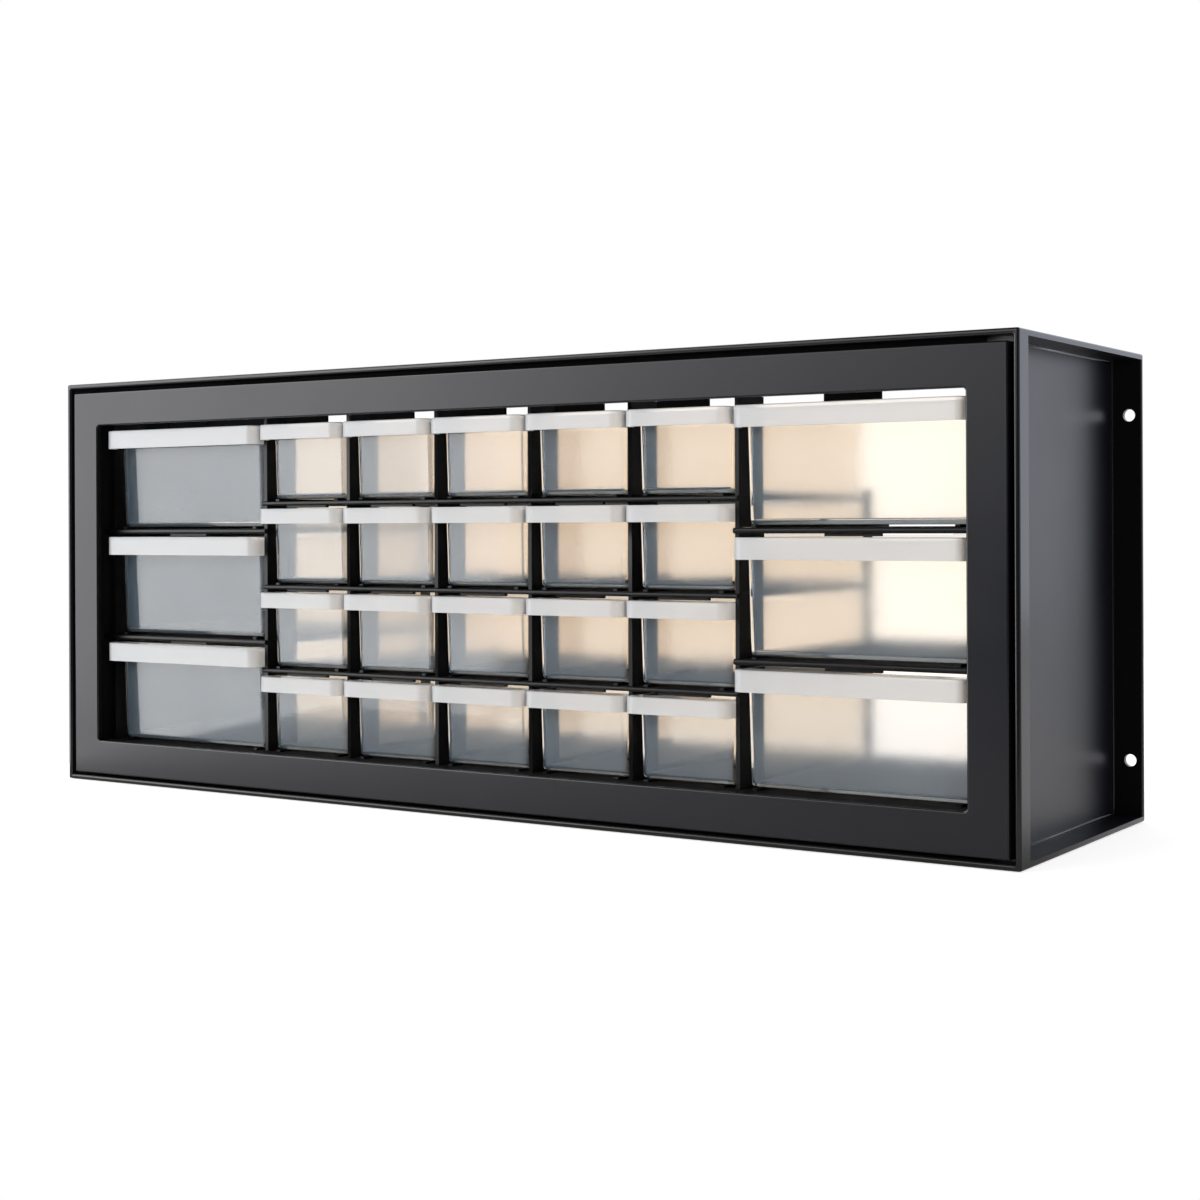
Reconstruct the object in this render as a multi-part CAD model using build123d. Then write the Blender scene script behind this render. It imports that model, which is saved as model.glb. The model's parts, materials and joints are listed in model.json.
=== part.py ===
# Drawer parts organizer: a black open-backed case with a grid of translucent sliding drawers.
# Millimetres. The origin is the centre of the underside, +X is right, +Y is back and +Z is up.
import os

from build123d import *

# Case
case_width = 500.0
case_depth = 142.0
case_height = 197.0
panel_thick = 2.4  # top and bottom panels, rim and flanges
web_thick = 2.2  # recessed wall of each side
side_recess = 13.0  # from the outside of the case in to the web
front_flange_depth = 10.0
case_edge_round = 1.0
case_corner_round = 1.2  # inside corners round the web
locating_rib_thick = 2.0
locating_rib_height = 4.0

# Screw holes in the rear flanges
screw_hole_diameter = 5.2
screw_hole_inset = 5.4  # from the outside of the case
screw_hole_margin = 25.7  # from the top and the underside of the case

# Grid of cells
small_columns = 5
small_rows = 4
large_rows = 3
large_span = 2  # small columns in the width of a large one
floor_drop = 0.4  # from the window down to the deck
ceiling_drop = 1.2  # from the window's upper edge down to the highest cells

# Front bezel
bezel_setback = 0.3  # behind the front of the rim
bezel_thick = 2.5
bezel_round = 0.8
rail_height = 21.0  # from the top of the case to the window
sill_height = 20.2  # from the underside of the case to the window
stile_width = 21.0  # from either end of the case to the window
skirt_thick = 2.0
groove_width = 2.2  # between the bezel and the rim
lower_groove_width = 1.3
window_ease = 0.4  # each side of the grid
window_corner_round = 1.5
window_return_thick = 2.0
rail_rise = 2.0  # underside of the top rail above the window
rail_cover = 11.0  # how far the top rail reaches over the posts

# Deck, shelves and posts
bar_setback = 9.5  # front edge of the shelves
post_setback = 11.5  # front edge of the posts
post_thick = 1.8
post_depth = 21.0
rear_post_depth = 6.0
rear_post_margin = 4.0  # from the back edge of the shelves
deck_thick = 2.4
large_shelf_thick = 2.4
small_shelf_thick = 2.0
shelf_rear_margin = 3.0  # from the back of the case
bar_round_share = 0.42
tab_length = 10.0
tab_inset = 3.0  # from the front edge of a post
rear_tab_length = 3.0
rear_tab_inset = 1.5  # from the front edge of a rear post
ledge_width = 3.0
ledge_height = 2.0
runner_width = 2.0
runner_height = 1.0
runner_inset = 5.0  # from the side of a drawer's body
guide_height = 4.0
stop_width = 24.0
stop_thick = 2.0
stop_clear = 0.4  # from a drawer's top up to a stop tab

# Drawers
body_gap = 4.8  # cell pitch less the width of a drawer's body
lip_gap = 1.6  # cell pitch less the width of a drawer's lip
head_gap = 1.5  # from a drawer's top up to the shelf above
front_wall_setback = 13.2
lip_setback = 4.0
lip_post_gap = 0.2  # from the ends of a lip to the posts
small_lip_height = 7.0
large_lip_height = 8.8
lip_corner_round = 5.0
lip_edge_round = 0.6
wall_thick = 1.5
drawer_floor_thick = 1.6
body_corner_round = 4.0  # at the top, less further down
draft_angle = 1.5  # lean of a drawer's walls, in degrees
body_bottom_round = 2.0
cavity_bottom_round = 1.0
body_rear_margin = 2.2  # from the back edge of the shelves
catch_width = 22.0
catch_rise = 1.1

# Fits
fit_gap = 0.1  # shelf ends and tabs against the posts
side_gap = 0.2  # shelves and locating ribs against the sides
overrun = 1.0  # how far a cut runs past a face
tolerance = 0.01  # for picking edges by place

# Places across the case
half_width = case_width / 2
rim_inner = half_width - panel_thick
web_outer = half_width - side_recess
web_inner = web_outer - web_thick
shelf_end = web_inner - side_gap
window_half = half_width - stile_width
grid_half = window_half - window_ease
small_pitch = 2 * grid_half / (small_columns + 2 * large_span)
large_pitch = small_pitch * large_span
post_line = small_columns * small_pitch / 2
bezel_half = rim_inner - groove_width
guide_line = grid_half + post_thick / 2
large_centre = post_line + large_pitch / 2
small_centres = [small_pitch * (i - (small_columns - 1) / 2) for i in range(small_columns)]
divider_lines = [small_pitch * (i + 1) - post_line for i in range(small_columns - 1)]

# Places from front to back
front = -case_depth / 2
back = case_depth / 2
return_back = front + front_flange_depth
return_front = return_back - panel_thick
bezel_front = front + bezel_setback
bezel_back = bezel_front + bezel_thick
bar_front = front + bar_setback
post_front = front + post_setback
post_back = post_front + post_depth
shelf_back = back - shelf_rear_margin
rear_post_back = shelf_back - rear_post_margin
rear_post_front = rear_post_back - rear_post_depth
lip_front = front + lip_setback
lip_back = post_front - lip_post_gap
body_front = front + front_wall_setback
body_back = shelf_back - body_rear_margin

# Places up the case
top_under = case_height - panel_thick
bezel_low = panel_thick + lower_groove_width
bezel_high = top_under - groove_width
window_top = case_height - rail_height
floor_height = sill_height - floor_drop  # top of the deck under the lowest drawers
grid_height = window_top - ceiling_drop - floor_height
rail_under = window_top + rail_rise
large_row_pitch = (grid_height + large_shelf_thick) / large_rows
small_row_pitch = (grid_height + small_shelf_thick) / small_rows


def block(x_range, y_range, z_range):
    # A box between a low and a high limit along each axis.
    ranges = (x_range, y_range, z_range)
    corner = [low for low, high in ranges]
    size = [high - low for low, high in ranges]
    return Pos(*corner) * Box(*size, align=(Align.MIN, Align.MIN, Align.MIN))


def around(middle, width):
    # The limits of a width about its middle.
    return (middle - width / 2, middle + width / 2)


def row_floors(rows, pitch):
    # The floor under each row of drawers, from the top row down.
    return [floor_height + pitch * (rows - 1 - row) for row in range(rows)]


def row_ceilings(rows, pitch, shelf_thick):
    # The underside above each row of drawers, from the top row down.
    return [floor + pitch - shelf_thick for floor in row_floors(rows, pitch)]


def edges_near(shape, axis, x=None, y=None):
    # The edges along an axis that stand at the given x or y.
    chosen = shape.edges().filter_by(axis)
    if x is not None:
        chosen = [edge for edge in chosen if abs(edge.center().X - x) < tolerance]
    if y is not None:
        chosen = [edge for edge in chosen if abs(edge.center().Y - y) < tolerance]
    return chosen


large_floors = row_floors(large_rows, large_row_pitch)
large_ceilings = row_ceilings(large_rows, large_row_pitch, large_shelf_thick)
small_floors = row_floors(small_rows, small_row_pitch)
small_ceilings = row_ceilings(small_rows, small_row_pitch, small_shelf_thick)


# Case panels
def case_top():
    panel = block((-half_width, half_width), (front, back), (top_under, case_height))
    upright = panel.edges().filter_by(Axis.Z)
    upper = panel.edges().group_by(Axis.Z)[-1]
    panel = fillet(upright + upper, case_edge_round)
    # The inner edge of the rim is rounded between the two sides.
    edge_depth = (front - overrun, front + case_edge_round)
    edge = block((-rim_inner, rim_inner), edge_depth, (top_under - overrun, top_under + case_edge_round))
    rounding = Rot(Y=90) * Cylinder(case_edge_round, 2 * half_width)
    edge -= Pos(0, edge_depth[1], top_under + case_edge_round) * rounding
    panel -= edge
    # The rib that the bezel's skirt stops against.
    stop_height = (bezel_high - skirt_thick, top_under)
    panel += block((-shelf_end, shelf_end), (return_front, return_back), stop_height)
    # Ribs that hold the two sides apart.
    for side in (-1, 1):
        middle = side * (shelf_end - locating_rib_thick / 2)
        rib_height = (top_under - locating_rib_height, top_under)
        panel += block(around(middle, locating_rib_thick), (post_back, rear_post_back), rib_height)
    return panel


def case_bottom(top):
    return Pos(0, 0, case_height) * mirror(top, about=Plane.XY)


def case_right_side():
    height = (panel_thick, top_under)
    side = block((web_inner, web_outer), (return_front, back), height)
    side += block((web_inner, half_width), (return_front, return_back), height)
    side += block((rim_inner, half_width), (front, return_back), height)
    side += block((web_inner, half_width), (back - panel_thick, back), height)
    inside = edges_near(side, Axis.Z, x=web_outer, y=return_back)
    inside += edges_near(side, Axis.Z, x=web_outer, y=back - panel_thick)
    side = fillet(inside, case_corner_round)
    outside = edges_near(side, Axis.Z, x=half_width)
    outside += edges_near(side, Axis.Z, x=rim_inner, y=front)
    side = fillet(outside, case_edge_round)
    hole_length = panel_thick + 2 * overrun
    for hole_height in (screw_hole_margin, case_height - screw_hole_margin):
        hole = Rot(X=90) * Cylinder(screw_hole_diameter / 2, hole_length)
        side -= Pos(half_width - screw_hole_inset, back - panel_thick / 2, hole_height) * hole
    # Coves along the foot and the head of the web.
    cove_across = (web_outer, web_outer + case_corner_round)
    foot = (panel_thick, panel_thick + case_corner_round)
    head = (top_under - case_corner_round, top_under)
    for cove_height, middle in ((foot, foot[1]), (head, head[0])):
        cove = block(cove_across, (return_back, back - panel_thick), cove_height)
        hollow = Rot(X=90) * Cylinder(case_corner_round, case_depth)
        side += cove - Pos(cove_across[1], 0, middle) * hollow
    # Ledges under the outer ends of the large shelves.
    for floor in large_floors[:-1]:
        ledge_top = floor - large_shelf_thick
        ledge = (web_inner - ledge_width, web_inner)
        side += block(ledge, (post_back, rear_post_front), (ledge_top - ledge_height, ledge_top))
    return side


# Front bezel
def stop_tab(centre, drawer_ceiling, carrier_under):
    # Hangs over the front of a cell, where the catch on a drawer's back meets it.
    foot = drawer_ceiling - head_gap + stop_clear
    return block(around(centre, stop_width), (post_front, post_front + stop_thick), (foot, carrier_under))


def front_bezel():
    plate = block((-bezel_half, bezel_half), (bezel_front, bezel_back), (bezel_low, bezel_high))
    window = block(
        (-window_half, window_half),
        (bezel_front - overrun, bezel_back + overrun),
        (sill_height, window_top),
    )
    plate -= fillet(window.edges().filter_by(Axis.Y), window_corner_round)
    plate = fillet(plate.faces().sort_by(Axis.Y)[0].edges(), bezel_round)
    skirt = block((-bezel_half, bezel_half), (bezel_back, return_front), (bezel_low, bezel_high))
    skirt -= block(
        (skirt_thick - bezel_half, bezel_half - skirt_thick),
        (bezel_back - overrun, return_front + overrun),
        (bezel_low + skirt_thick, bezel_high - skirt_thick),
    )
    bezel = plate + skirt
    return_outer = window_half + window_return_thick
    sill_under = sill_height - window_return_thick
    rail_top = rail_under + window_return_thick
    across = (-return_outer, return_outer)
    bezel += block(across, (bezel_back, bar_front), (sill_under, sill_height))
    bezel += block(across, (bezel_back, post_front + rail_cover), (rail_under, rail_top))
    for side in (-1, 1):
        bezel += stop_tab(side * large_centre, large_ceilings[0], rail_under)
    for centre in small_centres:
        bezel += stop_tab(centre, small_ceilings[0], rail_under)
    return bezel


# Posts and shelves
def tab_spans():
    # From front to back: the tab in the front post and the tab in the rear post.
    front_start = post_front + tab_inset
    rear_start = rear_post_front + rear_tab_inset
    return [(front_start, front_start + tab_length), (rear_start, rear_start + rear_tab_length)]


def post(side, depth_range, top, slot_span):
    upright = block(around(side * post_line, post_thick), depth_range, (floor_height, top))
    slot = (slot_span[0] - fit_gap, slot_span[1] + fit_gap)
    across = around(side * post_line, post_thick + 2 * overrun)
    for floor in large_floors[:-1]:
        upright -= block(across, slot, (floor - large_shelf_thick, floor + fit_gap))
    for floor in small_floors[:-1]:
        upright -= block(across, slot, (floor - small_shelf_thick, floor + fit_gap))
    return upright


def runners(centre, pitch, floor):
    # Two low ribs that a drawer slides on.
    pair = Part()
    for side in (-1, 1):
        middle = centre + side * ((pitch - body_gap) / 2 - runner_inset)
        height = (floor, floor + runner_height)
        pair += block(around(middle, runner_width), (post_front, body_back), height)
    return pair


def divider(line, floor, top):
    # A short post between two cells, with a low guide rib running back from it.
    across = around(line, post_thick)
    upright = block(across, (post_front, post_back), (floor, top))
    return upright + block(across, (post_back, rear_post_front), (floor, floor + guide_height))


def shelf_plate(across, bar_across, floor, thick):
    # The plate, with a rounded bar along its front that passes before the posts.
    height = (floor - thick, floor)
    bar = block(bar_across, (bar_front, post_front - fit_gap), height)
    bar = fillet(bar.edges().filter_by(Axis.X).group_by(Axis.Y)[0], thick * bar_round_share)
    return bar + block(across, (post_front - fit_gap, shelf_back), height)


def right_shelf(row):
    # Stands under a large drawer, and over the next one down.
    floor = large_floors[row]
    inner = post_line + post_thick / 2
    across = (inner + fit_gap, shelf_end)
    shelf = shelf_plate(across, (inner - post_thick, shelf_end), floor, large_shelf_thick)
    for span in tab_spans():
        tab = (inner - post_thick, inner + fit_gap)
        shelf += block(tab, span, (floor - large_shelf_thick, floor))
    above = rail_under if row == 0 else large_ceilings[row]
    shelf += divider(guide_line, floor, above)
    shelf += runners(large_centre, large_pitch, floor)
    shelf += stop_tab(large_centre, large_ceilings[row + 1], floor - large_shelf_thick)
    return shelf


def centre_shelf(row):
    # Stands under one row of small drawers, and over the next row down.
    floor = small_floors[row]
    inner = post_line - post_thick / 2
    across = (fit_gap - inner, inner - fit_gap)
    bar_end = post_line + post_thick / 2
    shelf = shelf_plate(across, (-bar_end, bar_end), floor, small_shelf_thick)
    for side in (-1, 1):
        middle = side * (post_line - fit_gap / 2)
        for span in tab_spans():
            shelf += block(around(middle, post_thick + fit_gap), span, (floor - small_shelf_thick, floor))
    above = rail_under if row == 0 else small_ceilings[row]
    for line in divider_lines:
        shelf += divider(line, floor, above)
    for centre in small_centres:
        shelf += runners(centre, small_pitch, floor)
        shelf += stop_tab(centre, small_ceilings[row + 1], floor - small_shelf_thick)
    return shelf


def floor_deck():
    # Carries the lowest drawers and every post, on legs that stand on the bottom panel.
    across = (-shelf_end, shelf_end)
    deck = block(across, (bar_front, shelf_back), (floor_height - deck_thick, floor_height))
    for line in (-guide_line, -post_line, post_line, guide_line):
        legs = (panel_thick, floor_height - deck_thick)
        deck += block(around(line, post_thick), (post_front, rear_post_back), legs)
    for side in (-1, 1):
        deck += divider(side * guide_line, floor_height, large_ceilings[-1])
        deck += runners(side * large_centre, large_pitch, floor_height)
    for line in divider_lines:
        deck += divider(line, floor_height, small_ceilings[-1])
    for centre in small_centres:
        deck += runners(centre, small_pitch, floor_height)
    return deck


# Drawers
def tub(half, depth_range, height_range, corner_round):
    # A block with rounded corners whose four walls lean in towards its foot.
    depth = depth_range[1] - depth_range[0]
    height = height_range[1] - height_range[0]
    outline = RectangleRounded(2 * half, depth, corner_round)
    leaning = extrude(outline, amount=height, dir=(0, 0, -1), taper=draft_angle)
    return Pos(0, sum(depth_range) / 2, height_range[1]) * leaning


def drawer_lip(pitch, top, lip_height):
    # A pull with a rounded front, open below and behind for the fingers.
    half = (pitch - lip_gap) / 2
    lip = block((-half, half), (lip_front, lip_back), (top - lip_height, top))
    lip = fillet(lip.edges().filter_by(Axis.Z).group_by(Axis.Y)[0], lip_corner_round)
    upper = lip.edges().group_by(Axis.Z)[-1]
    exposed = [edge for edge in upper if edge.center().Y < lip_back - tolerance]
    lip = fillet(exposed, lip_edge_round)
    inner = half - wall_thick
    hollow = block(
        (-inner, inner),
        (lip_front + wall_thick, lip_back + overrun),
        (top - lip_height - overrun, top - wall_thick),
    )
    hollow = fillet(hollow.edges().filter_by(Axis.Z).group_by(Axis.Y)[0], lip_corner_round - wall_thick)
    return lip - hollow


def drawer(centre, pitch, floor, ceiling, lip_height):
    low = floor + runner_height
    top = ceiling - head_gap
    half = (pitch - body_gap) / 2
    body = tub(half, (body_front, body_back), (low, top), body_corner_round)
    body = fillet(body.edges().group_by(Axis.Z)[0], body_bottom_round)
    # The ledge that joins the lip to the front wall, and the catch on the back wall.
    ledge_depth = (lip_back - wall_thick, body_front + body_corner_round)
    body += block((-half, half), ledge_depth, (top - wall_thick, top))
    catch_height = (top - wall_thick, top + catch_rise)
    body += block(around(0, catch_width), (body_back - wall_thick, body_back), catch_height)
    body += drawer_lip(pitch, top, lip_height)
    cavity = tub(
        half - wall_thick,
        (body_front + wall_thick, body_back - wall_thick),
        (low + drawer_floor_thick, top),
        body_corner_round - wall_thick,
    )
    cavity = fillet(cavity.edges().group_by(Axis.Z)[0], cavity_bottom_round)
    cavity += extrude(cavity.faces().sort_by(Axis.Z)[-1], amount=overrun)
    return Pos(centre, 0, 0) * (body - cavity)


# Assembly
top_panel = case_top()
right_side = case_right_side()
pieces = {
    "case_top_panel": top_panel,
    "case_bottom_panel": case_bottom(top_panel),
    "case_right_side": right_side,
    "case_left_side": mirror(right_side, about=Plane.YZ),
    "front_bezel": front_bezel(),
    "floor_deck": floor_deck(),
}
front_span, rear_span = tab_spans()
rear_post_top = small_floors[0] + guide_height
for side, word in ((-1, "left"), (1, "right")):
    pieces[f"{word}_post"] = post(side, (post_front, post_back), rail_under, front_span)
    pieces[f"{word}_rear_post"] = post(side, (rear_post_front, rear_post_back), rear_post_top, rear_span)
for row in range(large_rows - 1):
    shelf = right_shelf(row)
    pieces[f"right_shelf_{row + 1}"] = shelf
    pieces[f"left_shelf_{row + 1}"] = mirror(shelf, about=Plane.YZ)
for row in range(small_rows - 1):
    pieces[f"centre_shelf_{row + 1}"] = centre_shelf(row)
for row in range(large_rows):
    floor, ceiling = large_floors[row], large_ceilings[row]
    for side, word in ((-1, "left"), (1, "right")):
        name = f"{word}_drawer_{row + 1}"
        pieces[name] = drawer(side * large_centre, large_pitch, floor, ceiling, large_lip_height)
for row in range(small_rows):
    floor, ceiling = small_floors[row], small_ceilings[row]
    for column, centre in enumerate(small_centres):
        name = f"small_drawer_{row + 1}_{column + 1}"
        pieces[name] = drawer(centre, small_pitch, floor, ceiling, small_lip_height)

os.makedirs("parts", exist_ok=True)
for name, shape in pieces.items():
    export_step(shape, f"parts/{name}.step")
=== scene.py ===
import json
import math

import bmesh
import bpy
from mathutils import Matrix, Vector


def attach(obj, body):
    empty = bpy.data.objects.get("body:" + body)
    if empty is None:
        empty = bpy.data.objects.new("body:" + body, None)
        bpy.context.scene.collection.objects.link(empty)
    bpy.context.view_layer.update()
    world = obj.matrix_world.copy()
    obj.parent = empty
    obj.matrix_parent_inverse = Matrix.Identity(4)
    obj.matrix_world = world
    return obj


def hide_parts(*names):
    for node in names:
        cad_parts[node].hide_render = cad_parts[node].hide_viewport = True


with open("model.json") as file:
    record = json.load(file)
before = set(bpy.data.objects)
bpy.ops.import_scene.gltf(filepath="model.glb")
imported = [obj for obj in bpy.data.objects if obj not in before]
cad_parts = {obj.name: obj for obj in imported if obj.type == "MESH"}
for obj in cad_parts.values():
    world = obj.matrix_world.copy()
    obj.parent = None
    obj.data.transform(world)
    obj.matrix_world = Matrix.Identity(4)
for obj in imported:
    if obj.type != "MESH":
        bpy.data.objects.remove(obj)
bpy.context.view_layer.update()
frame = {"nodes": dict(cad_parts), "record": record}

nodes = frame["nodes"]
mm = 0.001


# Colours are written as sRGB hex and turned to linear here
def linear(hexText):
    shares = [int(hexText[i:i + 2], 16) / 255 for i in (1, 3, 5)]
    return [s / 12.92 if s <= 0.04045 else ((s + 0.055) / 1.055) ** 2.4 for s in shares] + [1.0]


# Adds a node, sets its properties and inputs, and links sockets into its inputs
def addNode(tree, kind, settings=None, values=None, links=None):
    node = tree.nodes.new(kind)
    for name, value in (settings or {}).items():
        setattr(node, name, value)
    for name, value in (values or {}).items():
        node.inputs[name].default_value = value
    for name, socket in (links or {}).items():
        tree.links.new(socket, node.inputs[name])
    return node


def newMaterial(name):
    material = bpy.data.materials.new(name)
    material.use_nodes = True
    tree = material.node_tree
    tree.nodes.clear()
    output = addNode(tree, "ShaderNodeOutputMaterial")
    place = addNode(tree, "ShaderNodeTexCoord")
    return material, tree, output, place.outputs["Object"]


# Noise with spots of a real size
def spots(tree, place, size, detail):
    values = {"Scale": 1 / size, "Detail": detail}
    return addNode(tree, "ShaderNodeTexNoise", values=values, links={"Vector": place}).outputs["Fac"]


# Takes a value from one span to another, evenly or as a soft step
def ramp(tree, value, edge, ends, kind="LINEAR"):
    values = {"From Min": edge[0], "From Max": edge[1], "To Min": ends[0], "To Max": ends[1]}
    ramped = addNode(tree, "ShaderNodeMapRange", {"interpolation_type": kind}, values, {"Value": value})
    return ramped.outputs["Result"]


# The two colours of a mix are its inputs 6 and 7, and its mixed colour is output 2
def blend(tree, factor, colours):
    values = {6: linear(colours[0]), 7: linear(colours[1])}
    return addNode(tree, "ShaderNodeMix", {"data_type": "RGBA"}, values, {"Factor": factor}).outputs[2]


def reckon(tree, operation, values=None, links=None):
    return addNode(tree, "ShaderNodeMath", {"operation": operation}, values, links).outputs["Value"]


noiseSpan = (0.3, 0.7)  # where nearly all of the noise lies

# Black polypropylene from a spark-eroded mould: a soft broad sheen with a very fine grain
caseLooks = {
    # faces that show
    "satinBlackPolypropylene": {
        "colours": ("#090a11", "#0f1018"), "roughness": (0.33, 0.37), "sheen": 0.5, "bump": 0.05 * mm},
    # rounded edges, the rim and the outer edges of the flanges
    "smoothBlackPolypropylene": {
        "colours": ("#09090b", "#0f0f11"), "roughness": (0.16, 0.22), "sheen": 0.5, "bump": 0.02 * mm},
    # outsides of the top and bottom panels
    "grainedBlackPolypropylene": {
        "colours": ("#0b0b0c", "#0d0d0e"), "roughness": (0.56, 0.60), "sheen": 0.3, "bump": 0.08 * mm},
    # faces inside, left unpolished; their darker colour and weak sheen are painted shade in the case's
    # hollows
    "dullPaintedShadeBlackPolypropylene": {
        "colours": ("#060607", "#0a0a0b"), "roughness": (0.70, 0.80), "sheen": 0.15, "bump": 0.08 * mm},
}
# The real grit is 0.2 mm, drawn coarser so that it shows
caseGrain = {
    "grain": 0.9 * mm, "grainDetail": 2.0, "cloud": 45 * mm, "cloudDetail": 3.0,
    "strength": 0.35, "ior": 1.49,
}


def casePlastic(name, look):
    material, tree, output, place = newMaterial(name)
    cloud = spots(tree, place, caseGrain["cloud"], caseGrain["cloudDetail"])
    grain = spots(tree, place, caseGrain["grain"], caseGrain["grainDetail"])
    bumpValues = {"Strength": caseGrain["strength"], "Distance": look["bump"]}
    bump = addNode(tree, "ShaderNodeBump", values=bumpValues, links={"Height": grain})
    links = {
        "Base Color": blend(tree, cloud, look["colours"]),
        "Roughness": ramp(tree, cloud, noiseSpan, look["roughness"]),
        "Normal": bump.outputs["Normal"],
    }
    values = {"IOR": caseGrain["ior"], "Specular IOR Level": look["sheen"]}
    surface = addNode(tree, "ShaderNodeBsdfPrincipled", values=values, links=links)
    tree.links.new(surface.outputs["BSDF"], output.inputs["Surface"])
    return material


# Black polystyrene from a plain mould: deep black, with soft thin highlights along the bars
rackLooks = {
    "plainBlackPolystyrene": {"colour": "#060608", "roughness": (0.32, 0.40), "sheen": 0.28},
    # sides of the posts, and the shelves but for their bars; rougher, and darker with a weaker sheen as
    # painted shade
    "dullPaintedShadeBlackPolystyrene": {"colour": "#050506", "roughness": (0.62, 0.72), "sheen": 0.12},
}
rackFlow = {"size": 30 * mm, "detail": 2.0, "ior": 1.59}


def rackPlastic(name, look):
    material, tree, output, place = newMaterial(name)
    flow = spots(tree, place, rackFlow["size"], rackFlow["detail"])
    colour = linear(look["colour"])
    values = {"Base Color": colour, "IOR": rackFlow["ior"], "Specular IOR Level": look["sheen"]}
    links = {"Roughness": ramp(tree, flow, noiseSpan, look["roughness"])}
    surface = addNode(tree, "ShaderNodeBsdfPrincipled", values=values, links=links)
    tree.links.new(surface.outputs["BSDF"], output.inputs["Surface"])
    return material


# Natural polypropylene: what is behind shows warm through it, and its milkiness looks cool against the dark
drawerLooks = {
    # outside of the front wall
    "polishedPolypropylene": {
        "milk": 0.09, "colours": ("#9cc4e6", "#b0d0ec"), "roughness": (0.05, 0.09), "cloud": 22 * mm},
    # inside of the front wall
    "hazyPolypropylene": {
        "milk": 0.06, "colours": ("#9cc4e6", "#b0d0ec"), "roughness": (0.16, 0.22), "cloud": 22 * mm},
    # the pull
    "thickFrostedPolypropylene": {
        "milk": 0.58, "colours": ("#d9e0e7", "#e4e9ee"), "roughness": (0.34, 0.44), "cloud": 12 * mm,
        "through": "#fff0de"},
    # sides and back
    "frostedPolypropylene": {
        "milk": 0.08, "colours": ("#c4d8ea", "#d2e0ee"), "roughness": (0.40, 0.50), "cloud": 9 * mm,
        "thin": True},
    "frostedPolypropyleneFloor": {
        "milk": 0.42, "colours": ("#c2d4e6", "#d2deea"), "roughness": (0.40, 0.50), "cloud": 9 * mm,
        "thin": True},
    # foot of the front wall, seen along the floor; its darker colours and dark see-through tint are painted
    # shade
    "paintedShadeFootPolypropylene": {
        "milk": 0.16, "colours": ("#8fa6bc", "#9fb2c4"), "roughness": (0.10, 0.16), "cloud": 9 * mm,
        "through": "#4e5a66"},
}
drawerTint = {"through": "#fefbf7", "glow": "#fff3e4", "glowShare": 0.5, "cloudDetail": 3.0, "ior": 1.49}


def drawerPlastic(name, look):
    material, tree, output, place = newMaterial(name)
    cloud = spots(tree, place, look["cloud"], drawerTint["cloudDetail"])
    rough = ramp(tree, cloud, noiseSpan, look["roughness"])
    milkLinks = {"Base Color": blend(tree, cloud, look["colours"]), "Roughness": rough}
    milk = addNode(tree, "ShaderNodeBsdfPrincipled", values={"IOR": drawerTint["ior"]}, links=milkLinks)
    through = linear(look.get("through", drawerTint["through"]))
    if look.get("thin"):  # straight through, or scattered forwards and back
        clear = addNode(tree, "ShaderNodeBsdfTransparent", values={"Color": through})
        glow = addNode(tree, "ShaderNodeBsdfTranslucent", values={"Color": linear(drawerTint["glow"])})
        parts = {1: milk.outputs["BSDF"], 2: glow.outputs["BSDF"]}
        milkGlow = addNode(tree, "ShaderNodeMixShader", values={"Fac": drawerTint["glowShare"]}, links=parts)
        cloudy = milkGlow.outputs["Shader"]
    else:
        values = {"Base Color": through, "IOR": drawerTint["ior"], "Transmission Weight": 1.0}
        clear = addNode(tree, "ShaderNodeBsdfPrincipled", values=values, links={"Roughness": rough})
        cloudy = milk.outputs["BSDF"]
    parts = {1: clear.outputs["BSDF"], 2: cloudy}
    both = addNode(tree, "ShaderNodeMixShader", values={"Fac": look["milk"]}, links=parts)
    tree.links.new(both.outputs["Shader"], output.inputs["Surface"])
    return material


skinSets = {
    "case_plastic": {name: casePlastic(name, look) for name, look in caseLooks.items()},
    "rack_plastic": {name: rackPlastic(name, look) for name, look in rackLooks.items()},
    "drawer_plastic": {name: drawerPlastic(name, look) for name, look in drawerLooks.items()},
}
print("materials made:", sum(len(skins) for skins in skinSets.values()))

# How far a face has to look along an axis to count as facing it: exactly, nearly or roughly
facing = {"flat": 0.995, "wall": 0.95, "near": 0.9, "half": 0.5}

# Limits of the case's inside: the rim, the bezel's plate, the window, the webs and the faces of the panels
caseZones = {
    "rimFront": -70.9 * mm, "plateBack": -68.3 * mm, "rear": 60 * mm,
    "window": 230 * mm, "web": 236 * mm, "edge": 249.5 * mm,
    "low": 2.5 * mm, "high": 194.5 * mm,
}


# Dull inside, with painted shade in a darker skin; grained on top and below, smooth on the rounded edges, the
# rim and the flanges' outer edges
def caseFinish(face, base):
    across, up = abs(face.center.x), face.center.z
    between = caseZones["low"] < up < caseZones["high"]
    insideLow = up < caseZones["low"] and face.normal.z > facing["half"]
    insideHigh = up > caseZones["high"] and face.normal.z < -facing["half"]
    panelInside = insideLow or insideHigh
    behind = face.center.y > caseZones["plateBack"] and across < caseZones["web"]
    windowSide = across < caseZones["window"] and abs(face.normal.x) > facing["near"]
    flangeInside = face.center.y > caseZones["rear"] and face.normal.y < -facing["near"]
    outerEdge = across > caseZones["edge"] and abs(face.normal.x) > facing["near"]
    rounded = max(abs(part) for part in face.normal) < facing["flat"]
    # Faces inside the case get the darker skin, as painted shade
    if (behind and (between or panelInside)) or windowSide or flangeInside:
        return "dullPaintedShadeBlackPolypropylene"
    if abs(face.normal.z) > facing["flat"] and not between and not panelInside:
        return "grainedBlackPolypropylene"
    if outerEdge or face.center.y < caseZones["rimFront"] or rounded:
        return "smoothBlackPolypropylene"
    return "satinBlackPolypropylene"
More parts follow.
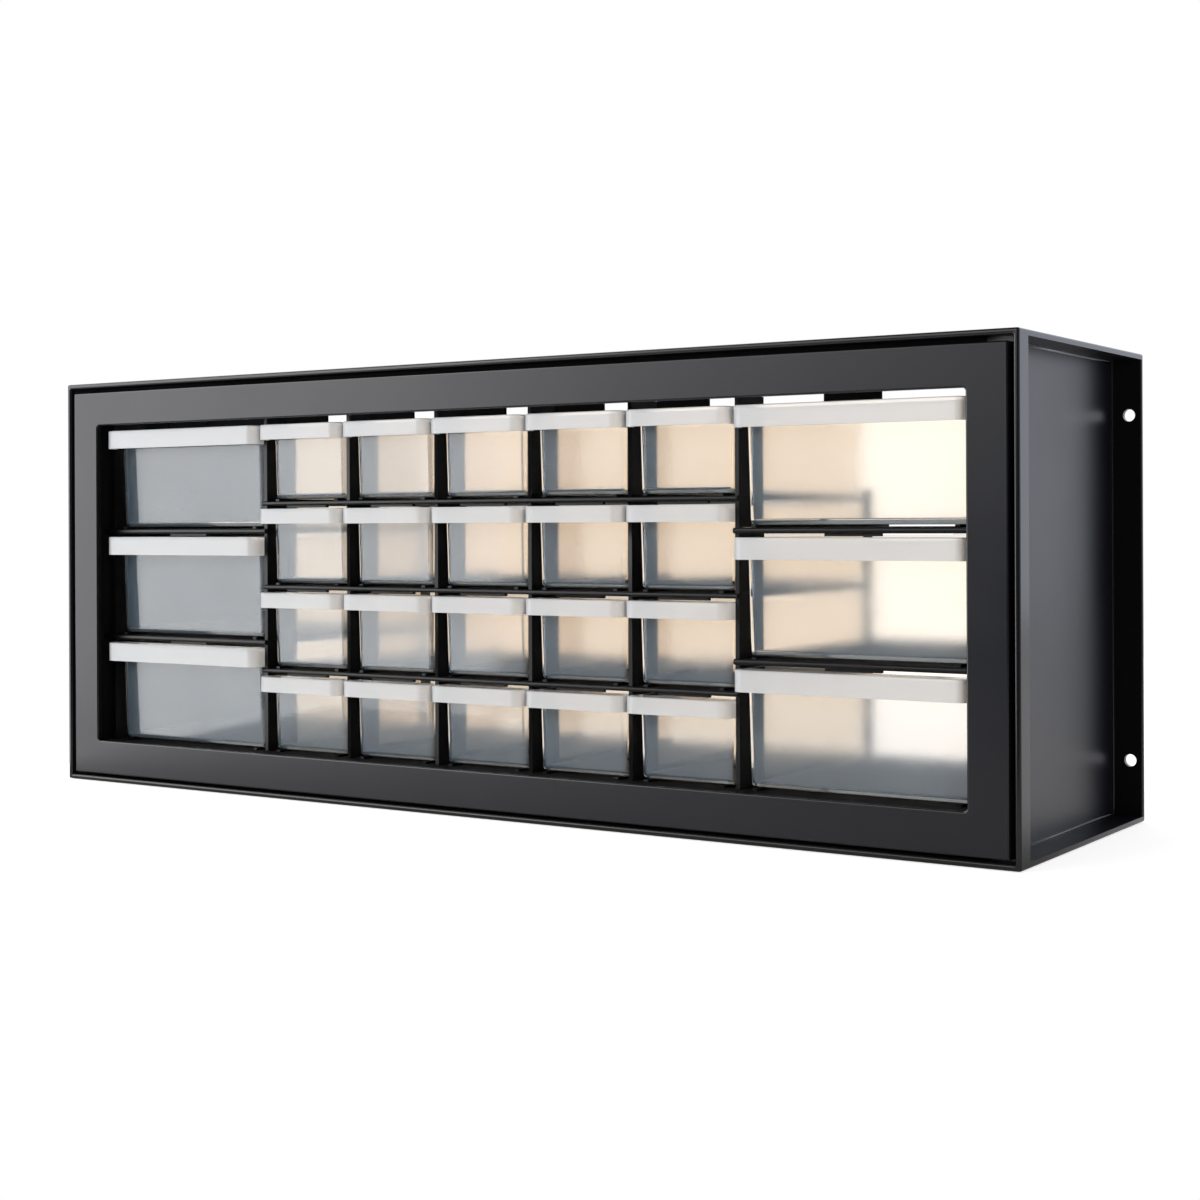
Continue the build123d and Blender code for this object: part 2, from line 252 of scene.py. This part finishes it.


# The flat faces that don't look to the front are duller than the bars, and darker with a weaker sheen as
# painted shade
def rackFinish(face, base):
    turned = max(abs(face.normal.x), abs(face.normal.z)) > facing["near"]
    return "dullPaintedShadeBlackPolystyrene" if turned else "plainBlackPolystyrene"


# Behind the pull and the front wall along y, and up from the underside
drawerZones = {"pullBack": -59.6 * mm, "frontWall": -55.0 * mm, "foot": 1.9 * mm}


# The front wall is polished, the pull is thick and the rest is frosted
def drawerFinish(face, base):
    atFront = face.center.y < drawerZones["frontWall"]
    if face.center.y < drawerZones["pullBack"]:
        return "thickFrostedPolypropylene"
    # The foot of the front wall gets a skin with painted shade
    if atFront and face.center.z < base + drawerZones["foot"]:
        return "paintedShadeFootPolypropylene"
    if atFront and abs(face.normal.z) < facing["wall"]:
        return "polishedPolypropylene" if face.normal.y < 0 else "hazyPolypropylene"
    if abs(face.normal.z) > facing["half"]:
        return "frostedPolypropyleneFloor"
    return "frostedPolypropylene"


finishes = {"case_plastic": caseFinish, "rack_plastic": rackFinish, "drawer_plastic": drawerFinish}


# Gives each face of a piece its finish
def dress(mesh, slot):
    base = min(corner.co.z for corner in mesh.vertices)
    order = list(skinSets[slot])
    mesh.materials.clear()
    for skin in skinSets[slot].values():
        mesh.materials.append(skin)
    for face in mesh.polygons:
        face.material_index = order.index(finishes[slot](face, base))


# The faces round a corner, in groups that no sharp edge parts
def smoothFans(corner):
    fans = []
    waiting = set(corner.link_faces)
    while waiting:
        fan, reached = [], [waiting.pop()]
        while reached:
            face = reached.pop()
            fan.append(face)
            for edge in face.edges:
                if edge.smooth and corner in edge.verts:
                    fresh = waiting.intersection(edge.link_faces)
                    waiting -= fresh
                    reached += fresh
        fans.append(fan)
    return fans


# Corner normals weighted by area, so that a flat face stays flat up to its rounded edges
def settleNormals(mesh):
    form = bmesh.new()
    form.from_mesh(mesh)
    normals = [Vector((0, 0, 1))] * len(mesh.loops)
    for corner in form.verts:
        for fan in smoothFans(corner):
            weighted = sum((face.normal * face.calc_area() for face in fan), Vector()).normalized()
            for face in fan:
                start = mesh.polygons[face.index].loop_start
                for i, loop in enumerate(face.loops):
                    if loop.vert == corner:
                        normals[start + i] = weighted
    form.free()
    mesh.normals_split_custom_set(normals)


slotOf = {piece["node"]: piece["material_slot"] for piece in frame["record"]["subparts"]}
bodies = frame["record"]["behaviour"]["bodies"]
bodyOf = {node: body for body, names in bodies.items() for node in names}
mendSpec = {"merge": 0.002 * mm, "flat": math.radians(0.5), "smooth": math.radians(32)}


# A node's shape with its loose triangles merged, so that its rounded corners shade smoothly
def smoothCopy(name):
    form = bmesh.new()
    form.from_mesh(nodes[name].data)
    bmesh.ops.remove_doubles(form, verts=form.verts, dist=mendSpec["merge"])
    bmesh.ops.dissolve_limit(form, angle_limit=mendSpec["flat"], verts=form.verts, edges=form.edges)
    if name.endswith("panel"):  # parted over the webs, where its inside begins
        for side in (-1, 1):
            whole = form.verts[:] + form.edges[:] + form.faces[:]
            cut = (side * caseZones["web"], 0, 0)
            bmesh.ops.bisect_plane(form, geom=whole, plane_co=cut, plane_no=(1, 0, 0))
    mesh = bpy.data.meshes.new(name + "_skin")
    form.to_mesh(mesh)
    form.free()
    for face in mesh.polygons:
        face.use_smooth = True
    mesh.set_sharp_from_angle(angle=mendSpec["smooth"])
    settleNormals(mesh)
    piece = bpy.data.objects.new(name + "_skin", mesh)
    bpy.context.scene.collection.objects.link(piece)
    dress(mesh, slotOf[name])
    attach(piece, bodyOf[name])
    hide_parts(name)
    return piece


pieces = [smoothCopy(name) for name in nodes]
print("pieces made:", len(pieces))

# Camera: level, with the frame slid down, as the upright edges of the case stay upright in the picture
cameraSpec = {
    "place": (0.50946, -0.7431, 0.12689), "yaw": 33.242, "roll": -0.235,
    "lens": 58.575, "sensor": 36, "slide": -0.0644, "near": 0.01,
}
yaw, roll = math.radians(cameraSpec["yaw"]), math.radians(cameraSpec["roll"])
ahead = Vector((-math.sin(yaw), math.cos(yaw), 0))
right = Vector((math.cos(yaw), math.sin(yaw), 0))
up = Vector((0, 0, 1))
tiltedRight = right * math.cos(roll) + up * math.sin(roll)
tiltedUp = up * math.cos(roll) - right * math.sin(roll)
turn = Matrix((tiltedRight, tiltedUp, -ahead)).transposed().to_4x4()
lens = bpy.data.cameras.new("camera")
lens.lens = cameraSpec["lens"]
lens.sensor_width = cameraSpec["sensor"]
lens.shift_y = cameraSpec["slide"]
lens.clip_start = cameraSpec["near"]
camera = bpy.data.objects.new("camera", lens)
camera.matrix_world = Matrix.Translation(cameraSpec["place"]) @ turn
bpy.context.scene.collection.objects.link(camera)
bpy.context.scene.camera = camera

# Floor: white to the camera, with the object's soft shadow kept; it ends early at the front left, where the
# key light reaches below it, and its glow shows in the case's sheen only behind the front
floorSpec = {
    "middle": (0.70, 0.70), "half": 1.0, "drop": 0.3 * mm, "colour": "#ececec",
    "glow": 0.66, "throughGlow": 0.48, "sheenGlow": 0.34, "sheenEdge": (-0.06, 0.06),
}
form = bmesh.new()
bmesh.ops.create_grid(form, x_segments=1, y_segments=1, size=floorSpec["half"])
bmesh.ops.translate(form, verts=form.verts, vec=(*floorSpec["middle"], -floorSpec["drop"]))
floorMesh = bpy.data.meshes.new("floor")
form.to_mesh(floorMesh)
form.free()
floor = bpy.data.objects.new("floor", floorMesh)
bpy.context.scene.collection.objects.link(floor)
material, tree, output, place = newMaterial("paleStudioFloor")
path = addNode(tree, "ShaderNodeLightPath").outputs
axes = addNode(tree, "ShaderNodeSeparateXYZ", links={0: place}).outputs
behind = ramp(tree, axes["Y"], floorSpec["sheenEdge"], (0.0, floorSpec["sheenGlow"]), "SMOOTHSTEP")
mirrored = reckon(tree, "MULTIPLY", links={0: path["Is Glossy Ray"], 1: behind})
passed = {0: path["Is Transmission Ray"], 2: mirrored}
through = reckon(tree, "MULTIPLY_ADD", {1: floorSpec["throughGlow"]}, passed)
glowLevel = reckon(tree, "MULTIPLY_ADD", {1: floorSpec["glow"]}, {0: path["Is Camera Ray"], 2: through})
board = addNode(tree, "ShaderNodeBsdfDiffuse", values={"Color": linear(floorSpec["colour"])})
glow = addNode(tree, "ShaderNodeEmission", values={"Color": (1, 1, 1, 1)}, links={"Strength": glowLevel})
both = addNode(tree, "ShaderNodeAddShader", links={0: board.outputs["BSDF"], 1: glow.outputs["Emission"]})
tree.links.new(both.outputs["Shader"], output.inputs["Surface"])
floorMesh.materials.append(material)

# World: white behind and below the object, dimmer on the side of the camera and overhead
worldSpec = {
    "behind": 1.38, "before": 0.10, "depthEdge": (-0.5, 0.4),
    "overhead": 0.35, "heightEdge": (0.2, 0.8), "below": 0.8, "underEdge": (-0.12, -0.45),
    "tint": "#eef3ff", "through": "#f1ede8",
}
world = bpy.data.worlds.new("studio")
world.use_nodes = True
bpy.context.scene.world = world
tree = world.node_tree
tree.nodes.clear()
output = addNode(tree, "ShaderNodeOutputWorld")
place = addNode(tree, "ShaderNodeTexCoord")
path = addNode(tree, "ShaderNodeLightPath").outputs
axes = addNode(tree, "ShaderNodeSeparateXYZ", links={0: place.outputs["Generated"]}).outputs
depthEnds = (worldSpec["before"], worldSpec["behind"])
depthShade = ramp(tree, axes["Y"], worldSpec["depthEdge"], depthEnds, "SMOOTHSTEP")
heightShade = ramp(tree, axes["Z"], worldSpec["heightEdge"], (1.0, worldSpec["overhead"]), "SMOOTHSTEP")
aboveShade = reckon(tree, "MULTIPLY", links={0: depthShade, 1: heightShade})
underShare = ramp(tree, axes["Z"], worldSpec["underEdge"], (0.0, 1.0), "SMOOTHSTEP")
single = {"data_type": "FLOAT"}
shadeLinks = {"Factor": underShare, "A": aboveShade}
shade = addNode(tree, "ShaderNodeMix", single, {"B": worldSpec["below"]}, shadeLinks)
straight = reckon(tree, "MAXIMUM", links={0: path["Is Camera Ray"], 1: path["Is Transmission Ray"]})
level = addNode(tree, "ShaderNodeMix", single, {"B": 1.0}, {"Factor": straight, "A": shade.outputs["Result"]})
tint = blend(tree, path["Is Transmission Ray"], (worldSpec["tint"], worldSpec["through"]))
white = {7: (1, 1, 1, 1)}
colourLinks = {"Factor": path["Is Camera Ray"], 6: tint}
colour = addNode(tree, "ShaderNodeMix", {"data_type": "RGBA"}, white, colourLinks)
skyLinks = {"Color": colour.outputs[2], "Strength": level.outputs["Result"]}
sky = addNode(tree, "ShaderNodeBackground", links=skyLinks)
tree.links.new(sky.outputs["Background"], output.inputs["Surface"])

# Soft boxes, each aimed at a point of the case; a hidden one lights it without a reflection of its own
caseMiddle = (0, 0, 0.1)
lamps = {
    "keyBox": {
        "place": (-1.50, -1.15, 0.47), "aim": caseMiddle, "size": (1.25, 1.6), "watts": 26,
        "colour": "#ffffff"},
    "fillBox": {
        "place": (-0.62, -1.50, 0.80), "aim": caseMiddle, "size": (1.0, 1.0), "watts": 7.5,
        "colour": "#ffffff"},
    "sideBox": {
        "place": (1.40, -1.15, 0.40), "aim": caseMiddle, "size": (0.9, 0.9), "watts": 18.5,
        "colour": "#fff0e0", "hidden": True},
    "backBox": {
        "place": (-0.30, 1.0, 0.45), "aim": (-0.30, 0, 0.35), "size": (1.1, 1.0), "watts": 2.3,
        "colour": "#fff6ea", "hidden": True},
    "topBox": {
        "place": (-1.05, -0.05, 1.35), "aim": caseMiddle, "size": (0.38, 1.2), "watts": 5,
        "colour": "#ffffff"},
}


def softBox(name, spec):
    light = bpy.data.lights.new(name, "AREA")
    light.shape = "RECTANGLE"
    light.size, light.size_y = spec["size"]
    light.energy = spec["watts"]
    light.color = linear(spec["colour"])[:3]
    lamp = bpy.data.objects.new(name, light)
    aim = Vector(spec["aim"]) - Vector(spec["place"])
    lamp.matrix_world = Matrix.Translation(spec["place"]) @ aim.to_track_quat("-Z", "Y").to_matrix().to_4x4()
    lamp.visible_camera = lamp.visible_glossy = not spec.get("hidden", False)
    bpy.context.scene.collection.objects.link(lamp)


for name, spec in lamps.items():
    softBox(name, spec)
print("stage set")

bounceSpec = {"through": 48, "most": 16}  # a line of sight crosses many thin walls
bpy.context.scene.view_settings.view_transform = "Standard"
bpy.context.scene.cycles.transparent_max_bounces = bounceSpec["through"]
bpy.context.scene.cycles.max_bounces = bounceSpec["most"]
